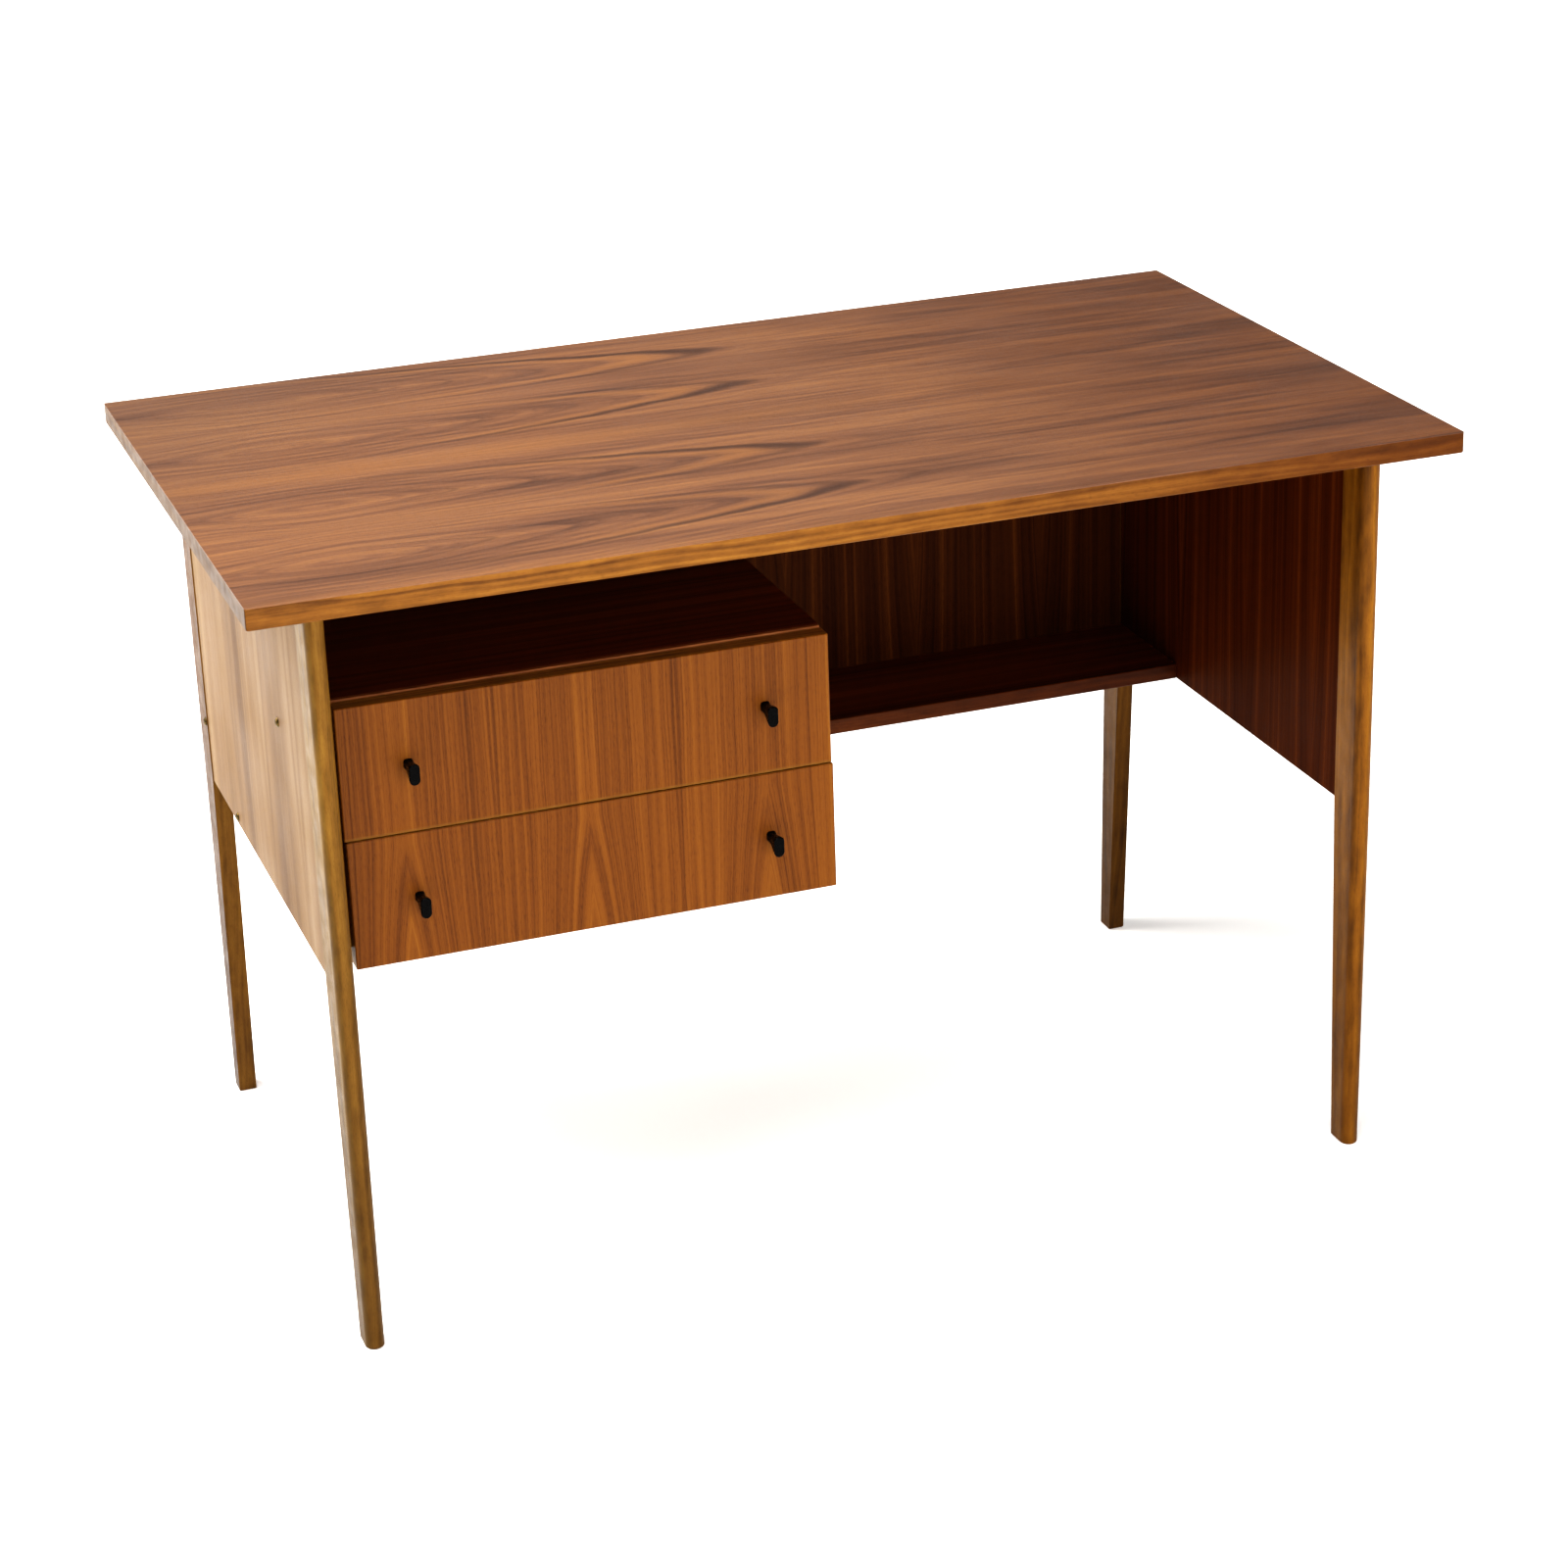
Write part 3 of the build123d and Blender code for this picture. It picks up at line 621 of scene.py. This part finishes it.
def shaded(colours, shades):
    """The same colours with each channel scaled by its shade."""
    scaled = []
    for colour in colours:
        channels = (channel * shade for channel, shade in zip(colour, shades))
        scaled.append((*channels, 1.0))
    return scaled


KNOB_TONES = ((0.35, srgb(3, 3, 3)), (0.7, srgb(9, 8, 8)))
KNOB_PATCHES = (260.0, 260.0, 260.0)
KNOB_ROUGHNESS = (0.22, 0.34)
KNOB_SPECKLE = (2400.0, 2400.0, 2400.0)
KNOB_SPECKLE_DEPTH = 0.00002
KNOB_IOR = 1.15


def knob_plastic(name):
    """Satin black moulded plastic, a little greyer where fingers have rubbed it."""
    g = Graph(name)
    place = g.place()
    grime = g.noise(place, KNOB_PATCHES, detail=3.0)
    colour = g.ramp(grime, KNOB_TONES)
    roughness = g.span(grime, 0.3, 0.7, *KNOB_ROUGHNESS)
    speckle = g.noise(place, KNOB_SPECKLE, detail=1.0)
    return g.finish(colour, roughness, speckle, KNOB_SPECKLE_DEPTH, ior=KNOB_IOR)


TARNISH_PATCHES = (420.0, 420.0, 420.0)
TARNISH_DEPTH = 0.00008
TARNISH_DULLS = 0.12
TARNISH_SHINES = -0.08
METALLIC = (0.3, 0.6, 0.7, 1.0)
BRASS_BRIGHT = srgb(112, 92, 50)
BRASS_DULL = srgb(40, 32, 18)
BRASS_ROUGHNESS = 0.42
STEEL_BRIGHT = srgb(170, 166, 158)
STEEL_DULL = srgb(104, 98, 90)
STEEL_ROUGHNESS = 0.38


def metal(name, bright, dull, roughness):
    """Aged metal with tarnish in patches."""
    g = Graph(name)
    place = g.place()
    clean = g.noise(place, TARNISH_PATCHES, detail=4.0, roughness=0.65)
    colour = g.ramp(clean, ((0.35, dull), (0.65, bright)))
    rough = g.span(clean, 0.3, 0.7, roughness + TARNISH_DULLS, roughness + TARNISH_SHINES)
    metallic = g.span(clean, *METALLIC)
    return g.finish(colour, rough, clean, TARNISH_DEPTH, metallic=metallic)


def size_of(node):
    low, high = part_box(node)
    return high - low


def wall_grain(node):
    """The grain axis and the axis across it of a board, from its name and its box."""
    size = size_of(node)
    along = "z" if node in OUTSIDES else "x"
    if node in ("unit_left_side", "unit_right_side"):
        along = "y"
    others = [axis for axis in AXES if axis != along]
    across = max(others, key=lambda axis: size[AXES[axis]])
    return along, across


def longest_axis(node):
    size = size_of(node)
    return max(AXES, key=lambda axis: size[AXES[axis]])


made = {}


def once(name, make, *values):
    """A material that is made the first time it is asked for."""
    if name not in made:
        made[name] = make(name, *values)
    return made[name]


def panel_finish(node):
    along, across = wall_grain(node)
    look = PANEL_LOOKS.get(node, PANEL_LOOK if along == "z" else BOARD_LOOK)
    outside = OUTSIDES.get(node)
    layout = (along, across, *PANEL_LAYOUT)
    return once(f"panel_{along}{across}_{outside}", upright_veneer, layout, look, outside)


def front_finish(node):
    if node == "upper_drawer_front_lippings":
        worn = (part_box(node)[0].z, WORN_HALF, WORN_COLOUR)
        return once("worn_front", upright_veneer, FRONT_LAYOUT, FRONT_LOOK, None, worn)
    return once("front_veneer", upright_veneer, FRONT_LAYOUT, FRONT_LOOK)


def lipping_finish(node):
    if node.endswith("front_lippings"):
        return front_finish(node)
    along = longest_axis(node)
    colours, shade = LIPPINGS.get(node, (EDGE_COLOURS, 1.0))
    colours = shaded(colours, (shade, shade, shade))
    fade = EDGE_PAINTED_SHADE if along == "x" else None
    return once(f"lipping_{node}", solid_wood, along, colours, EDGE_CUT, fade)


def leg_finish(node):
    colours = shaded(LEG_COLOURS, LEG_PAINTED_SHADES[node])
    fade = RIGHT_LEG_PAINTED_SHADE if node == "right_front_leg" else LEG_PAINTED_SHADE
    values = ("z", colours, LEG_CUT, fade, LEFT_FACE_PAINTED_LIGHT.get(node))
    return once(f"leg_wood_{node}", solid_wood, *values)


def material_for(node, slot):
    """The finish of one CAD node, from its material slot and its shape."""
    if slot == "panel_veneer":
        return panel_finish(node)
    if slot == "front_veneer":
        return front_finish(node)
    if slot == "edge_lipping":
        return lipping_finish(node)
    if slot == "leg_wood":
        return leg_finish(node)
    if slot in ("drawer_wood", "hardwood"):
        along = longest_axis(node)
        return once(f"{slot}_{along}", solid_wood, along, BEECH_COLOURS, BEECH_CUT)
    if slot == "plywood":
        return once(slot, upright_veneer, PLY_LAYOUT, PLY_LOOK)
    if slot == "aged_brass":
        return once(slot, metal, BRASS_BRIGHT, BRASS_DULL, BRASS_ROUGHNESS)
    if slot == "screw_steel":
        return once(slot, metal, STEEL_BRIGHT, STEEL_DULL, STEEL_ROUGHNESS)
    if slot == "knob_plastic":
        return once(slot, knob_plastic)
    return once(slot, top_veneer)


def dress_desk():
    """Gives every CAD node its material."""
    for part in frame["record"]["subparts"]:
        piece = frame["nodes"][part["node"]]
        piece.data.materials.clear()
        piece.data.materials.append(material_for(part["node"], part["material_slot"]))


FLOOR_HAZE = (3.0, 3.0, 3.0)
FLOOR_TONES = ((0.3, srgb(243, 243, 242)), (0.7, srgb(248, 248, 247)))
FLOOR_ROUGHNESS = 0.9
FLOOR_BUMP = 0.0005


def make_floor():
    """A pale round floor that glows away from the desk."""
    turns = [2 * math.pi * step / FLOOR_SIDES for step in range(FLOOR_SIDES)]
    points = [(FLOOR_RADIUS * math.cos(t), FLOOR_RADIUS * math.sin(t), 0.0) for t in turns]
    mesh = bpy.data.meshes.new("studio_floor")
    mesh.from_pydata(points, [], [range(FLOOR_SIDES)])
    floor = bpy.data.objects.new("studio_floor", mesh)
    bpy.context.scene.collection.objects.link(floor)
    g = Graph("studio_floor")
    x, y, z = g.place()
    haze = g.noise((x, y, z), FLOOR_HAZE, detail=3.0)
    colour = g.ramp(haze, FLOOR_TONES)
    away = g.math("SQRT", g.add(g.times(x, x), g.times(y, y)))
    glow = g.span(away, GLOW_START, GLOW_FULL, GLOW_LEAST, GLOW_MOST, smooth=True)
    lit = {"emission_color": colour, "emission_strength": glow}
    mesh.materials.append(g.finish(colour, FLOOR_ROUGHNESS, haze, FLOOR_BUMP, **lit))


def make_lights():
    """The area lights, each turned to what it lights."""
    for name, place, aim, width, height, power, colour in LIGHTS:
        data = bpy.data.lights.new(name, "AREA")
        data.shape = "RECTANGLE"
        data.size = width
        data.size_y = height
        data.energy = power
        data.color = colour
        light = bpy.data.objects.new(name, data)
        light.location = place
        towards = Vector(aim) - Vector(place)
        light.rotation_euler = towards.to_track_quat("-Z", "Y").to_euler()
        bpy.context.scene.collection.objects.link(light)


def make_room():
    """A plain surrounding, bright along the horizon and dim above."""
    world = bpy.data.worlds.new("studio")
    world.use_nodes = True
    nodes = world.node_tree.nodes
    links = world.node_tree.links
    direction = nodes.new("ShaderNodeTexCoord").outputs["Generated"]
    split = nodes.new("ShaderNodeSeparateXYZ")
    links.new(direction, split.inputs[0])
    fade = nodes.new("ShaderNodeMapRange")
    fade.interpolation_type = "SMOOTHSTEP"
    links.new(split.outputs[2], fade.inputs[0])
    for number, value in enumerate((HORIZON[0], OVERHEAD[0], HORIZON[1], OVERHEAD[1]), 1):
        fade.inputs[number].default_value = value
    background = nodes["Background"]
    background.inputs["Color"].default_value = (1.0, 1.0, 1.0, 1.0)
    links.new(fade.outputs[0], background.inputs["Strength"])
    bpy.context.scene.world = world


def make_camera():
    """The camera that looks over the desk's near left corner."""
    data = bpy.data.cameras.new("camera")
    data.lens = CAMERA_LENS
    data.sensor_width = CAMERA_SENSOR
    data.shift_x, data.shift_y = CAMERA_SHIFT
    camera = bpy.data.objects.new("camera", data)
    turn = Matrix.Rotation(math.radians(-CAMERA_YAW), 4, "Z")
    tilt = Matrix.Rotation(math.radians(90 - CAMERA_PITCH), 4, "X")
    roll = Matrix.Rotation(math.radians(CAMERA_ROLL), 4, "Z")
    camera.matrix_world = Matrix.Translation(CAMERA_PLACE) @ turn @ tilt @ roll
    bpy.context.scene.collection.objects.link(camera)
    bpy.context.scene.camera = camera


make_camera()
dress_desk()
make_floor()
make_lights()
make_room()
bpy.context.scene.view_settings.view_transform = "Standard"
bpy.context.scene.view_settings.look = "High Contrast"
